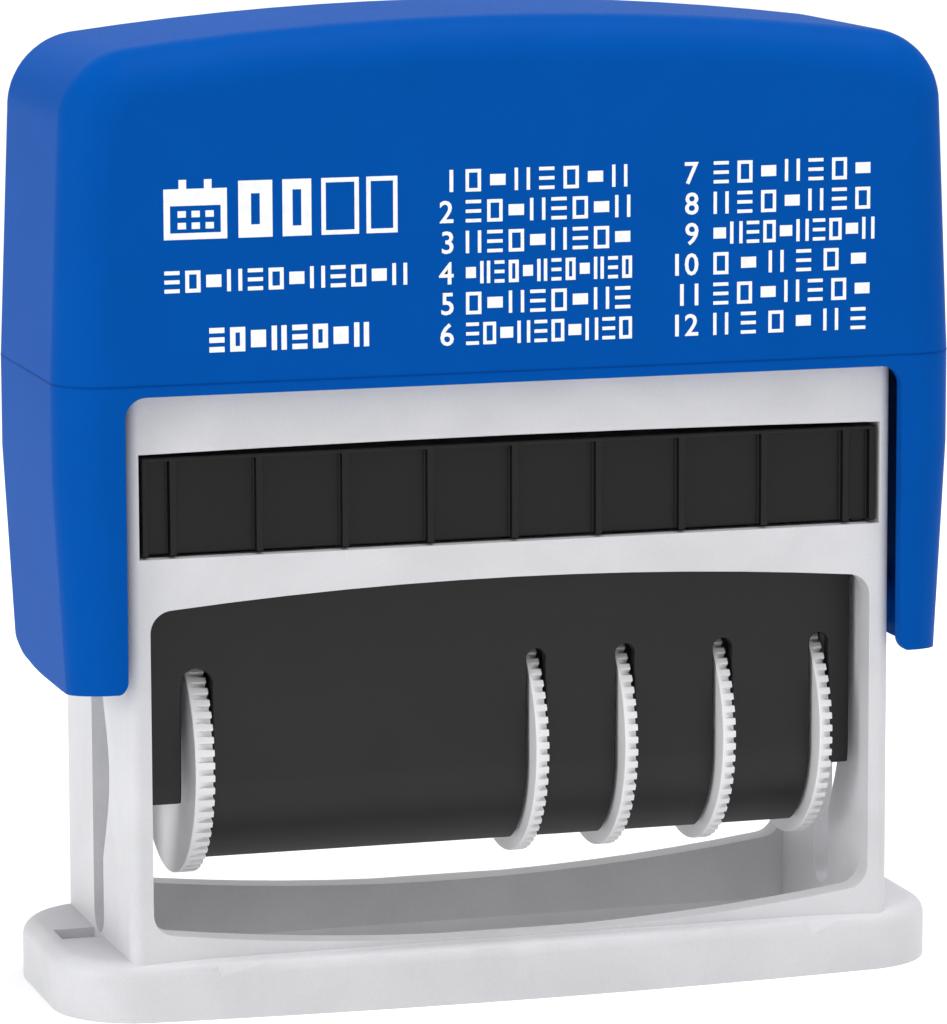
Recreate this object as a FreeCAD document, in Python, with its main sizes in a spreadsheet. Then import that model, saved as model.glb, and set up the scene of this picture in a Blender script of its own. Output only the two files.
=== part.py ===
import FreeCAD, Part
import math
import os
import re
import Sketcher
from FreeCAD import Vector

# Self-inking rotary date stamp, in millimetres. +X runs along the print line, +Z is up,
# and the origin is at the middle of the base's underside. The cap slides down over the
# frame; the type carriage hangs on two pins in the cap's legs and turns half a turn on the
# way, led by studs in the cam slots of the frame's end walls. The five wheels carry the
# phrase band and the four date bands on one axle. The ink pad sits in a tray that slides
# out through the window above the wheels.

doc = FreeCAD.newDocument("rotary_date_stamp")
sheet = doc.addObject("Spreadsheet::Sheet", "Sizes")

DIMENSIONS = [
    ("base_half_x", 36.5, "base, half length"),
    ("base_half_y", 12.15, "base, half depth at the ends"),
    ("base_bow", 1.34, "outward bow of the base's long sides"),
    ("base_bow_half", 29.5, "half length of the bowed stretch"),
    ("base_corner", 7.0, "plan corner radius of the base"),
    ("base_top", 4.7, "height of the base's top face"),
    ("base_round", 1.3, "rounding of the base's top edge"),
    ("base_relief", 1.4, "bevel of the print opening's lower edge"),
    ("frame_half_x", 31.5, "frame, half width"),
    ("frame_half_y", 11.5, "frame, half depth"),
    ("frame_top", 51.5, "top of the frame's walls"),
    ("frame_corner", 1.0, "frame's upright corner radius"),
    ("room_half_x", 29.85, "inside of the frame, half width"),
    ("room_half_y", 9.3, "inside of the frame, half depth"),
    ("deck_low", 45.3, "underside of the spring deck"),
    ("deck_high", 47.0, "top of the spring deck"),
    ("well_grow", 0.6, "how much deeper the spring well is than the room"),
    ("pad_window_half", 30.5, "pad window, half width"),
    ("pad_window_low", 36.6, "pad window, lower edge"),
    ("pad_window_high", 44.85, "pad window, upper edge"),
    ("pad_window_rise", 0.27, "rise of the pad window's upper edge"),
    ("wheel_window_half", 29.7, "wheel window, half width"),
    ("wheel_window_low", 6.9, "wheel window, lower edge at the ends"),
    ("wheel_window_dip", 2.1, "dip of the lower edge at the middle"),
    ("wheel_window_high", 32.4, "wheel window, upper edge at the ends"),
    ("wheel_window_rise", 1.4, "rise of the upper edge at the middle"),
    ("window_corner", 1.8, "corner radius of the wheel window"),
    ("seat_stud_r", 3.0, "radius of the studs that centre the springs"),
    ("seat_stud_tall", 2.0, "height of the deck's spring studs"),
    ("travel", 21.0, "stroke of the cap"),
    ("pivot_z", 28.85, "height of the carriage's pivot"),
    ("pivot_r", 1.5, "radius of the pivot pins"),
    ("stud_r", 1.2, "radius of the cam studs"),
    ("stud_arm", 2.9, "distance from the pivot to a cam stud"),
    ("slot_play", 0.25, "play of pins and studs in the slots"),
    ("slot_foot", 4.7, "lower end of the pin slot"),
    ("pin_play", 0.05, "running play of pins and wheels"),
    ("notch_half", 1.75, "half width of the relief beside each end wall"),
    ("notch_reach", 34.9, "outer end of the relief"),
    ("notch_deep", 0.8, "depth of the relief"),
    ("cap_half_y", 12.9, "cap, half depth"),
    ("cap_foot_half", 35.95, "cap, half width at the legs' feet"),
    ("cap_belly_half", 36.85, "cap, largest half width"),
    ("cap_belly_low", 43.0, "height where the belly starts"),
    ("cap_belly_high", 50.4, "height where the belly ends"),
    ("cap_shoulder_half", 36.0, "cap, half width at the shoulder"),
    ("cap_shoulder_z", 70.2, "height of the shoulder"),
    ("cap_crown_half", 30.77, "half length of the crown's arch"),
    ("cap_crown_low", 76.14, "height of the crown's ends"),
    ("cap_crown_radius", 245.0, "radius of the crown's arch"),
    ("cap_crown_corner", 6.0, "radius of the crown's end corners"),
    ("cap_round", 4.0, "rounding of the cap's long edges"),
    ("cap_wall", 1.1, "wall of the cap"),
    ("cap_foot_z", 26.3, "underside of the cap's legs at their front and back"),
    ("cap_foot_bow", 0.5, "downward bow of the legs' undersides"),
    ("cap_foot_under", 0.05, "how far the feet's roundings are set under the bow"),
    ("cap_foot_round", 0.4, "rounding of the legs' outer feet"),
    ("cap_toe_round", 0.3, "rounding of the legs' front feet"),
    ("cap_inner_round", 1.2, "rounding of the legs' inner feet"),
    ("cap_heel_deep", 8.0, "reach of the legs' rear rounding along Y"),
    ("cap_heel_tall", 6.0, "height of the legs' rear rounding"),
    ("cap_heel_over", 0.1, "overrun of the rear rounding"),
    ("cap_crown_share", 0.992, "share of an inset taken at the crown's ends"),
    ("cap_ceiling", 76.1, "underside of the crown over the springs"),
    ("cap_blank_z", 14.0, "underside of the cap before its feet are trimmed"),
    ("skirt_z", 49.5, "lower edge of the cap's front and back"),
    ("skirt_half", 31.8, "half width between the cap's legs"),
    ("skirt_corner", 1.7, "corner radius under the skirt"),
    ("boss_r", 2.6, "radius of the bearing bosses in the legs"),
    ("boss_reach", 35.4, "outer end of a bearing boss"),
    ("bore_reach", 34.5, "outer end of a bearing bore"),
    ("cap_stud_tall", 4.0, "height of the cap's spring studs"),
    ("cheek_half_x", 29.3, "outer face of the carriage's cheeks"),
    ("cheek_thick", 1.5, "thickness of a cheek"),
    ("cheek_half_y", 6.8, "half depth of a cheek"),
    ("cheek_waist_z", 21.5, "height where a cheek starts to narrow"),
    ("cheek_foot_r", 3.4, "radius of a cheek round the axle"),
    ("cheek_top", 32.8, "top of a cheek"),
    ("axle_z", 19.17, "height of the wheel axle"),
    ("axle_r", 1.5, "radius of the wheel axle"),
    ("pin_bevel", 0.3, "bevel of the pins' ends"),
    ("pin_end_gap", 0.3, "gap behind a pivot pin in its bore"),
    ("hub_r", 4.6, "radius of the wheels' drums"),
    ("rim_r", 9.78, "outer radius of the wheels"),
    ("boss_wheel_r", 2.6, "radius of the wheels' outer bosses"),
    ("groove_count", 60, "grooves round a wheel"),
    ("groove_start", 0.25, "plain margin at the left of a rim"),
    ("groove_deep", 0.75, "depth of a groove at the rim's right face"),
    ("groove_wide", 0.48, "width of a groove"),
    ("groove_over", 0.2, "overrun of a groove's cut"),
    ("cover_half_y", 8.0, "outer face of the wheel covers"),
    ("cover_axis_z", 18.2, "height of the axis that the covers roll round"),
    ("cover_wall", 1.2, "wall of the wheel covers"),
    ("cover_top", 34.0, "top of the wheel covers"),
    ("cover_half_x", 29.3, "wheel covers, half length"),
    ("cover_slit", 3.5, "half width of the slit under the covers"),
    ("cover_end_z", 16.4, "underside of the covers' ends"),
    ("cover_end_left", -25.95, "left limit of the covers' deep part"),
    ("cover_end_right", 27.4, "right limit of the covers' deep part"),
    ("cover_slot_top", 27.4, "top of the slots in the covers"),
    ("cover_slot_play", 0.25, "side play of a wheel in its slot"),
    ("cover_slot_wide", 0.45, "extra play at the left of the phrase wheel's slot"),
    ("band_thick", 0.8, "thickness of the bands"),
    ("band_gap", 0.08, "gap between a band and what it runs on"),
    ("band_bend", 0.5, "inner bend of a band at the print head"),
    ("head_half", 2.9, "half width of a band at the print head"),
    ("type_tall", 0.6, "relief of the type on the bands"),
    ("type_half", 2.0, "half height of the type line"),
    ("type_sink", 0.05, "how far the type is sunk into its band"),
    ("type_margin", 0.2, "margin of the type at a band's edges"),
    ("face_gap", 0.15, "gap between the type and the pad at rest"),
    ("anvil_deep", 6.0, "height of the anvil under the bands"),
    ("fin_thick", 0.5, "thickness of the fins between the bands"),
    ("fin_margin", 0.8, "distance of the outer fins from the outer bands"),
    ("tray_half_x", 30.2, "pad tray, half length"),
    ("tray_half_y", 11.3, "pad tray, half depth"),
    ("tray_low", 36.85, "underside of the pad tray"),
    ("tray_high", 44.55, "top of the pad tray"),
    ("tray_rib_deep", 0.7, "relief of the tray's ribs"),
    ("tray_rib_half", 0.28, "half thickness of a rib"),
    ("tray_rib_pitch", 6.93, "pitch of the ribs"),
    ("tray_lip", 0.3, "lip along the top of the tray's face"),
    ("tray_end", 0.5, "upright lips at the ends of the tray's face"),
    ("pad_corner", 0.8, "corner radius of the ink pad"),
    ("pad_half_x", 26.5, "ink pad, half length"),
    ("pad_half_y", 6.0, "ink pad, half depth"),
    ("pad_thick", 4.0, "thickness of the ink pad"),
    ("pad_play", 0.1, "play of the ink pad in its well"),
    ("spring_x", 20.0, "distance of the springs from the middle"),
    ("spring_r", 4.2, "mean radius of a spring's coils"),
    ("spring_wire", 0.4, "radius of the spring wire"),
    ("spring_turns", 9.0, "turns of a spring"),
    ("spring_play", 0.5, "play over a spring at the highest place of its seat"),
    ("arch_share", 1.02, "radius of an arch against that of a full quarter or half turn"),
    ("cut_over", 1.0, "overrun of cuts and of pieces that join"),
]

for row, (alias, number, note) in enumerate(DIMENSIONS, 1):
    sheet.set(f"A{row}", note)
    sheet.set(f"B{row}", str(number))
    sheet.setAlias(f"B{row}", alias)
doc.recompute()


def size(alias):
    """A dimension of the sheet, as a number."""
    return float(sheet.get(alias))


def linked(text):
    """Write the aliases in a formula as references to the sheet."""
    return re.sub(r"[a-z]\w*", lambda word: "Sizes." + word.group(), text)


def number_of(text):
    """The value of a formula made of the sheet's aliases."""
    return float(sheet.evalExpression(linked(text)))


def bind(item, prop, text):
    """Tie a property to a formula of the sheet's aliases."""
    item.setExpression(prop, linked(text))


# ---- sketches and features -------------------------------------------------------------

def new_body(label, place=("0", "0", "0")):
    """A body with its own label, standing at a place given by three formulas."""
    body = doc.addObject("PartDesign::Body", label)
    body.Label = label
    for axis, text in zip("xyz", place):
        bind(body, f"Placement.Base.{axis}", text)
    return body


def new_sketch(body, name, role, lift="0"):
    """A sketch on one of the body's own planes, lifted along the plane's normal."""
    sketch = body.newObject("Sketcher::SketchObject", name)
    plane = [item for item in body.Origin.OriginFeatures if item.Role == role][0]
    sketch.AttachmentSupport = [(plane, "")]
    sketch.MapMode = "FlatFace"
    bind(sketch, "AttachmentOffset.Base.z", lift)
    return sketch


def pin_point(sketch, edge, end, place):
    """Hold one point of a sketch at a place given by two formulas."""
    for kind, text in zip(("DistanceX", "DistanceY"), place):
        index = sketch.addConstraint(
            Sketcher.Constraint(kind, -1, 1, edge, end, number_of(text)))
        bind(sketch, f"Constraints[{index}]", text)


def outline(sketch, corners, arcs=None):
    """A closed outline. Corners are pairs of formulas, taken in order. An arc is given for
    an edge's number as (radius formula, side): side 1 puts its centre to the left."""
    arcs = arcs or {}
    places = [(Vector(number_of(x), number_of(y), 0), (x, y)) for x, y in corners]
    count = len(places)
    ends = []
    for index, (start, _) in enumerate(places):
        finish = places[(index + 1) % count][0]
        if index in arcs:
            radius_text, side = arcs[index]
            radius = number_of(radius_text)
            chord = finish - start
            half = chord.Length / 2
            rise = radius - math.sqrt(max(radius ** 2 - half ** 2, 0.0))
            across = Vector(chord.y, -chord.x, 0).normalize()
            middle = (start + finish) * 0.5 + across * (rise * side)
            edge = sketch.addGeometry(Part.Arc(start, middle, finish), False)
            bound = sketch.addConstraint(Sketcher.Constraint("Radius", edge, radius))
            bind(sketch, f"Constraints[{bound}]", radius_text)
        else:
            edge = sketch.addGeometry(Part.LineSegment(start, finish), False)
        forward = (sketch.getPoint(edge, 1) - start).Length < (sketch.getPoint(edge, 2) - start).Length
        ends.append((edge, 1, 2) if forward else (edge, 2, 1))
    for index, (edge, start_end, finish_end) in enumerate(ends):
        following, following_start, _ = ends[(index + 1) % count]
        sketch.addConstraint(Sketcher.Constraint(
            "Coincident", edge, finish_end, following, following_start))
        pin_point(sketch, edge, start_end, places[index][1])
    return sketch


def box_outline(sketch, low, high):
    """A rectangle between two corners given as formulas."""
    return outline(sketch, [low, (high[0], low[1]), high, (low[0], high[1])])


def circle(sketch, centre, radius):
    """A circle held by formulas."""
    place = Vector(number_of(centre[0]), number_of(centre[1]), 0)
    edge = sketch.addGeometry(Part.Circle(place, Vector(0, 0, 1), number_of(radius)), False)
    pin_point(sketch, edge, 3, centre)
    index = sketch.addConstraint(Sketcher.Constraint("Radius", edge, number_of(radius)))
    bind(sketch, f"Constraints[{index}]", radius)
    return sketch


def solid_feature(body, kind, name, sketch, length, both=False, back=False):
    """A pad or a pocket of a sketch. Its volume has to change, or it missed the solid."""
    before = body.Shape.Volume if body.Tip else 0.0
    feature = body.newObject(f"PartDesign::{kind}", name)
    feature.Profile = sketch
    if both:
        feature.SideType = "Symmetric"
    feature.Reversed = back
    bind(feature, "Length", length)
    sketch.Visibility = False
    doc.recompute()
    if near(body.Shape.Volume, before, 1e-6):
        raise RuntimeError(f"{name} changes nothing")
    return feature


def dress(body, kind, name, radius, wanted):
    """Fillet or chamfer the edges of the body's solid that a test picks."""
    base = body.Tip
    names = [f"Edge{index}" for index, edge in enumerate(base.Shape.Edges, 1) if wanted(edge)]
    feature = body.newObject(f"PartDesign::{kind}", name)
    feature.Base = (base, names)
    bind(feature, "Radius" if kind == "Fillet" else "Size", radius)
    doc.recompute()
    return feature


def around(body, name, feature, axis_role, count):
    """Repeat a feature evenly about one of the body's axes."""
    pattern = body.newObject("PartDesign::PolarPattern", name)
    pattern.Originals = [feature]
    axis = [item for item in body.Origin.OriginFeatures if item.Role == axis_role][0]
    pattern.Axis = (axis, [""])
    pattern.Angle = 360
    bind(pattern, "Occurrences", count)
    body.Tip = pattern
    doc.recompute()
    return pattern


def mirrored(body, name, features, role):
    """Repeat features on the other side of one of the body's planes."""
    mirror = body.newObject("PartDesign::Mirrored", name)
    mirror.Originals = features
    plane = [item for item in body.Origin.OriginFeatures if item.Role == role][0]
    mirror.MirrorPlane = (plane, [""])
    body.Tip = mirror
    doc.recompute()
    return mirror


def near(value, target, slack=0.02):
    return abs(value - target) < slack


# ---- frame: base and walls in one moulding ---------------------------------------------

def cam_slot_shape():
    """The opening in the right end wall: an upright slot for the pivot pin joined with the band
    that a cam stud sweeps. While the cap sinks by the stroke the carriage makes half a
    turn, so a stud that starts under the pivot passes in front of it and ends above it."""
    steps = 24
    pin_half = size("pivot_r") + size("slot_play")
    stud_half = size("stud_r") + size("slot_play")
    inner = size("room_half_x") - size("cut_over")
    depth = size("frame_half_x") - inner + size("cut_over")
    arm = size("stud_arm")

    def stud_place(turn):
        sunk = size("travel") * turn / math.pi
        return Vector(inner, -arm * math.sin(turn), size("pivot_z") - sunk - arm * math.cos(turn))

    def stud_heading(turn):
        drop = size("travel") / math.pi
        return Vector(0, -arm * math.cos(turn), arm * math.sin(turn) - drop).normalize()

    edges = {1: [], -1: []}
    for step in range(steps + 1):
        turn = math.pi * step / steps
        heading = stud_heading(turn)
        across = Vector(0, -heading.z, heading.y)
        for way in edges:
            edges[way].append(stud_place(turn) + across * (stud_half * way))
    first = Part.BSplineCurve()
    first.interpolate(edges[1])
    second = Part.BSplineCurve()
    second.interpolate(edges[-1])
    lower = Part.Arc(edges[1][-1], stud_place(math.pi) + stud_heading(math.pi) * stud_half,
                     edges[-1][-1])
    upper = Part.Arc(edges[-1][0], stud_place(0) - stud_heading(0) * stud_half, edges[1][0])
    rim = Part.Wire(Part.__sortEdges__([curve.toShape() for curve in (first, lower, second, upper)]))
    band = Part.Face(rim).extrude(Vector(depth, 0, 0))

    top = size("pivot_z")
    foot = size("slot_foot") + pin_half
    slot = Part.makeBox(depth, 2 * pin_half, top - foot, Vector(inner, -pin_half, foot))
    for height in (foot, top):
        slot = slot.fuse(Part.makeCylinder(
            pin_half, depth, Vector(inner, 0, height), Vector(1, 0, 0)))
    return slot.fuse(band).removeSplitter()


def make_frame():
    body = new_body("frame_moulding")
    base = new_sketch(body, "base_plan", "XY_Plane")
    outline(base, [
        ("-base_bow_half", "-base_half_y"), ("base_bow_half", "-base_half_y"),
        ("base_half_x", "-base_half_y + base_corner"), ("base_half_x", "base_half_y - base_corner"),
        ("base_bow_half", "base_half_y"), ("-base_bow_half", "base_half_y"),
        ("-base_half_x", "base_half_y - base_corner"), ("-base_half_x", "-base_half_y + base_corner"),
    ], {
        0: ("( base_bow_half ^ 2 + base_bow ^ 2 ) / ( 2 * base_bow )", 1),
        1: ("base_corner", 1), 3: ("base_corner", 1),
        4: ("( base_bow_half ^ 2 + base_bow ^ 2 ) / ( 2 * base_bow )", 1),
        5: ("base_corner", 1), 7: ("base_corner", 1),
    })
    solid_feature(body, "Pad", "base_pad", base, "base_top")
    top = size("base_top")
    dress(body, "Fillet", "base_shoulder", "base_round",
          lambda edge: near(edge.BoundBox.ZMin, top) and near(edge.BoundBox.ZMax, top))

    walls = new_sketch(body, "wall_plan", "XY_Plane", "base_top - base_round - cut_over")
    box_outline(walls, ("-frame_half_x", "-frame_half_y"), ("frame_half_x", "frame_half_y"))
    solid_feature(body, "Pad", "wall_pad", walls, "frame_top - base_top + base_round + cut_over")
    half_x = size("frame_half_x")
    tall = size("frame_top") / 2
    dress(body, "Fillet", "wall_corners", "frame_corner",
          lambda edge: near(abs(edge.CenterOfMass.x), half_x) and edge.BoundBox.ZLength > tall)

    room = new_sketch(body, "room_plan", "XY_Plane")
    box_outline(room, ("-room_half_x", "-room_half_y"), ("room_half_x", "room_half_y"))
    solid_feature(body, "Pocket", "room_pocket", room, "deck_low", back=True)
    reach_x = size("room_half_x")
    reach_y = size("room_half_y")
    dress(body, "Chamfer", "print_opening_bevel", "base_relief",
          lambda edge: near(edge.BoundBox.ZMax, 0) and near(edge.BoundBox.ZMin, 0)
          and (near(abs(edge.CenterOfMass.x), reach_x) or near(abs(edge.CenterOfMass.y), reach_y)))
    well = new_sketch(body, "spring_well_plan", "XY_Plane", "frame_top")
    box_outline(well, ("-room_half_x", "-room_half_y - well_grow"),
                ("room_half_x", "room_half_y + well_grow"))
    solid_feature(body, "Pocket", "spring_well", well, "frame_top - deck_high")
    studs = new_sketch(body, "spring_stud_plan", "XY_Plane", "deck_high")
    for side in ("-", ""):
        circle(studs, (f"{side}spring_x", "0"), "seat_stud_r")
    solid_feature(body, "Pad", "spring_studs", studs, "seat_stud_tall")

    window = new_sketch(body, "pad_window_face", "XZ_Plane")
    outline(window, [
        ("-pad_window_half", "pad_window_low"), ("pad_window_half", "pad_window_low"),
        ("pad_window_half", "pad_window_high"), ("-pad_window_half", "pad_window_high"),
    ], {2: ("( pad_window_half ^ 2 + pad_window_rise ^ 2 ) / ( 2 * pad_window_rise )", 1)})
    solid_feature(body, "Pocket", "pad_window", window, "4 * frame_half_y", both=True)
    window = new_sketch(body, "wheel_window_face", "XZ_Plane")
    outline(window, [
        ("-wheel_window_half", "wheel_window_low"), ("wheel_window_half", "wheel_window_low"),
        ("wheel_window_half", "wheel_window_high"), ("-wheel_window_half", "wheel_window_high"),
    ], {
        0: ("( wheel_window_half ^ 2 + wheel_window_dip ^ 2 ) / ( 2 * wheel_window_dip )", 1),
        2: ("( wheel_window_half ^ 2 + wheel_window_rise ^ 2 ) / ( 2 * wheel_window_rise )", 1),
    })
    solid_feature(body, "Pocket", "wheel_window", window, "4 * frame_half_y", both=True)
    window_half = size("wheel_window_half")
    dress(body, "Fillet", "wheel_window_corners", "window_corner",
          lambda edge: near(abs(edge.CenterOfMass.x), window_half) and near(edge.BoundBox.XLength, 0)
          and near(edge.BoundBox.ZLength, 0) and abs(edge.CenterOfMass.y) > reach_y)

    notches = new_sketch(body, "notch_plan", "XY_Plane", "base_top")
    for side in ("-", ""):
        box_outline(notches, (f"{side}frame_half_x", "-notch_half"), (f"{side}notch_reach", "notch_half"))
    solid_feature(body, "Pocket", "notches", notches, "notch_deep")

    slot = doc.addObject("Part::Feature", "right_cam_slot")
    slot.Shape = cam_slot_shape()
    other = doc.addObject("Part::Mirroring", "left_cam_slot")
    other.Source = slot
    other.Normal = Vector(1, 0, 0)
    half_cut = doc.addObject("Part::Cut", "frame_with_right_slot")
    half_cut.Base = body
    half_cut.Tool = slot
    frame = doc.addObject("Part::Cut", "base_frame")
    frame.Label = "base_frame"
    frame.Base = half_cut
    frame.Tool = other
    doc.recompute()
    return frame


# ---- cap --------------------------------------------------------------------------------

def cap_block(label, inset, drop):
    """The cap's solid form, drawn in from its outside by an inset all round and reaching
    lower by a drop. The difference of two such forms is the cap's wall."""
    body = new_body(label)
    face = new_sketch(body, f"{label}_face", "XZ_Plane")
    lean = "( cap_belly_half - cap_foot_half ) / ( cap_belly_low - cap_foot_z )"
    blank = f"cap_belly_half - {inset} - {lean} * ( cap_belly_low - cap_blank_z + {drop} )"
    corner = f"( cap_crown_corner - {inset} )"
    share = f"{inset} / cap_crown_radius"
    right = [
        (blank, f"cap_blank_z - {drop}"),
        (f"cap_belly_half - {inset}", "cap_belly_low"),
        (f"cap_belly_half - {inset}", "cap_belly_high"),
        (f"cap_shoulder_half - {inset}", "cap_shoulder_z"),
        (f"cap_crown_half * ( 1 - {share} )", f"cap_crown_low - {inset} * cap_crown_share"),
    ]
    left = [("-( " + x + " )", z) for x, z in reversed(right)]
    outline(face, right + left, {
        3: (corner, 1), 4: (f"cap_crown_radius - {inset}", 1), 5: (corner, 1),
    })
    solid_feature(body, "Pad", f"{label}_pad", face, f"2 * ( cap_half_y - {inset} )", both=True)
    half_y = number_of(f"cap_half_y - {inset}")
    blank_z = number_of(f"cap_blank_z - {drop}")
    dress(body, "Fillet", f"{label}_long_edges", f"cap_round - {inset}",
          lambda edge: near(abs(edge.CenterOfMass.y), half_y) and near(edge.BoundBox.YLength, 0)
          and not near(edge.BoundBox.ZMax, blank_z))
    return body


def make_cap():
    body = cap_block("cap_shell", "0", "0")
    soles = new_sketch(body, "soles_side", "YZ_Plane")
    chord = "( cap_half_y - ( cap_heel_deep + cap_toe_round ) / 2 )"
    heel = "( cap_heel_deep + cap_heel_over )"
    toe = "( cap_toe_round + cap_foot_under )"
    outline(soles, [
        ("-2 * cap_half_y", "cap_blank_z - cut_over"), ("2 * cap_half_y", "cap_blank_z - cut_over"),
        ("2 * cap_half_y", "cap_foot_z + cap_heel_tall"),
        ("cap_half_y + cap_heel_over", "cap_foot_z + cap_heel_tall"),
        ("cap_half_y - cap_heel_deep", "cap_foot_z"),
        ("-cap_half_y + cap_toe_round", "cap_foot_z"),
        ("-cap_half_y - cap_foot_under", "cap_foot_z + cap_toe_round"),
        ("-2 * cap_half_y", "cap_foot_z + cap_toe_round"),
    ], {
        3: (f"( {heel} ^ 2 + cap_heel_tall ^ 2 ) / ( 2 * cap_heel_tall )", -1),
        4: (f"( {chord} ^ 2 + cap_foot_bow ^ 2 ) / ( 2 * cap_foot_bow )", -1),
        5: (f"( {toe} ^ 2 + cap_toe_round ^ 2 ) / ( 2 * cap_toe_round )", -1),
    })
    solid_feature(body, "Pocket", "soles", soles, "4 * cap_belly_half", both=True)
    feet = new_sketch(body, "feet_face", "XZ_Plane")
    low = "( cap_foot_z - cap_foot_bow - cap_foot_under )"
    foot_round = "cap_foot_round * arch_share"
    outline(feet, [
        ("cap_foot_half - cap_foot_round", f"{low} - cut_over"), ("2 * cap_foot_half", f"{low} - cut_over"),
        ("2 * cap_foot_half", f"{low} + cap_foot_round"), ("cap_foot_half", f"{low} + cap_foot_round"),
        ("cap_foot_half - cap_foot_round", low),
    ], {3: (foot_round, -1)})
    outline(feet, [
        ("-cap_foot_half + cap_foot_round", low), ("-cap_foot_half", f"{low} + cap_foot_round"),
        ("-2 * cap_foot_half", f"{low} + cap_foot_round"), ("-2 * cap_foot_half", f"{low} - cut_over"),
        ("-cap_foot_half + cap_foot_round", f"{low} - cut_over"),
    ], {0: (foot_round, -1)})
    solid_feature(body, "Pocket", "feet", feet, "4 * cap_half_y", both=True)
    core = cap_block("cap_core", "cap_wall", "cut_over")
    hollow = body.newObject("PartDesign::Boolean", "cap_hollow")
    hollow.Type = "Cut"
    hollow.addObject(core)
    body.Tip = hollow
    doc.recompute()

    between = new_sketch(body, "between_legs_face", "XZ_Plane")
    sole = "( cap_foot_z - 2 * cap_foot_under )"
    outline(between, [
        ("-skirt_half - cap_inner_round", "cap_blank_z"), ("skirt_half + cap_inner_round", "cap_blank_z"),
        ("skirt_half + cap_inner_round", sole), ("skirt_half", f"{sole} + cap_inner_round"),
        ("skirt_half", "skirt_z"), ("-skirt_half", "skirt_z"),
        ("-skirt_half", f"{sole} + cap_inner_round"), ("-skirt_half - cap_inner_round", sole),
    ], {2: ("cap_inner_round", -1), 6: ("cap_inner_round", -1)})
    solid_feature(body, "Pocket", "between_legs", between, "4 * cap_half_y", both=True)
    skirt_half = size("skirt_half")
    skirt_z = size("skirt_z")
    dress(body, "Fillet", "skirt_corners", "skirt_corner",
          lambda edge: near(abs(edge.CenterOfMass.x), skirt_half)
          and near(edge.CenterOfMass.z, skirt_z) and near(edge.BoundBox.ZLength, 0))
    for name, boss_start, bore_end, inward in (
            ("right", "skirt_half", "bore_reach", False), ("left", "-boss_reach", "-bore_reach", True)):
        boss = new_sketch(body, f"{name}_boss_side", "YZ_Plane", boss_start)
        circle(boss, ("0", "pivot_z"), "boss_r")
        solid_feature(body, "Pad", f"{name}_boss", boss, "boss_reach - skirt_half")
        bore = new_sketch(body, f"{name}_bore_side", "YZ_Plane", bore_end)
        circle(bore, ("0", "pivot_z"), "pivot_r + pin_play")
        solid_feature(body, "Pocket", f"{name}_bore", bore, "bore_reach - skirt_half + cut_over",
                      back=inward)
    studs = new_sketch(body, "cap_stud_plan", "XY_Plane", "cap_ceiling - cap_stud_tall")
    for side in ("-", ""):
        circle(studs, (f"{side}spring_x", "0"), "seat_stud_r")
    solid_feature(body, "Pad", "cap_studs", studs, "cap_stud_tall + cap_wall / 2")
    return body


# ---- type carriage ----------------------------------------------------------------------

def make_cheek():
    """The right cheek, with the cam stud standing out of it under the pivot."""
    body = new_body("carriage_cheek_right")
    plate = new_sketch(body, "cheek_side", "YZ_Plane", "cheek_half_x - cheek_thick")
    outline(plate, [
        ("cheek_half_y", "cheek_top"), ("-cheek_half_y", "cheek_top"),
        ("-cheek_half_y", "cheek_waist_z"), ("-cheek_foot_r", "axle_z"),
        ("0", "axle_z - cheek_foot_r"), ("cheek_foot_r", "axle_z"),
        ("cheek_half_y", "cheek_waist_z"),
    ], {3: ("cheek_foot_r", 1), 4: ("cheek_foot_r", 1)})
    solid_feature(body, "Pad", "plate", plate, "cheek_thick")
    stud = new_sketch(body, "cam_stud_side", "YZ_Plane", "cheek_half_x")
    circle(stud, ("0", "pivot_z - stud_arm"), "stud_r")
    solid_feature(body, "Pad", "cam_stud", stud, "frame_half_x - cheek_half_x - slot_play")
    holes = new_sketch(body, "cheek_holes_side", "YZ_Plane", "cheek_half_x")
    circle(holes, ("0", "pivot_z"), "pivot_r")
    circle(holes, ("0", "axle_z"), "axle_r")
    solid_feature(body, "Pocket", "cheek_holes", holes, "cheek_thick")
    return body


def make_rod(label, low_x, high_x, height, radius):
    """A straight pin along X with bevelled ends."""
    body = new_body(label, (low_x, "0", height))
    section = new_sketch(body, f"{label}_end", "YZ_Plane")
    circle(section, ("0", "0"), radius)
    solid_feature(body, "Pad", f"{label}_shank", section, f"{high_x} - ( {low_x} )")
    dress(body, "Chamfer", f"{label}_bevels", "pin_bevel", lambda edge: near(edge.BoundBox.XLength, 0))
    return body


def mirror_of(source, label, normal):
    """The same piece on the other side of a plane through the origin."""
    other = doc.addObject("Part::Mirroring", label)
    other.Label = label
    other.Source = source
    other.Normal = normal
    doc.recompute()
    return other


# Each wheel: (name, rim's left face, rim's right face, far end of the drum that the band runs
# on, far end of the boss on the rim's other side).
WHEELS = [
    ("phrase_wheel", -25.8, -24.2, -2.8, -27.6),
    ("day_tens_wheel", 2.16, 3.26, -1.7, 3.26),
    ("day_units_wheel", 9.62, 10.72, 3.4, 10.72),
    ("month_wheel", 17.9, 19.0, 10.9, 19.0),
    ("year_wheel", 26.16, 27.26, 19.2, 27.6),
]

# Each band: (name, left edge, right edge).
BANDS = [
    ("phrase_band", -23.3, -2.9),
    ("day_tens_band", -1.6, 1.6),
    ("day_units_band", 3.5, 6.7),
    ("month_band", 11.0, 17.3),
    ("year_band", 19.3, 25.6),
]


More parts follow.
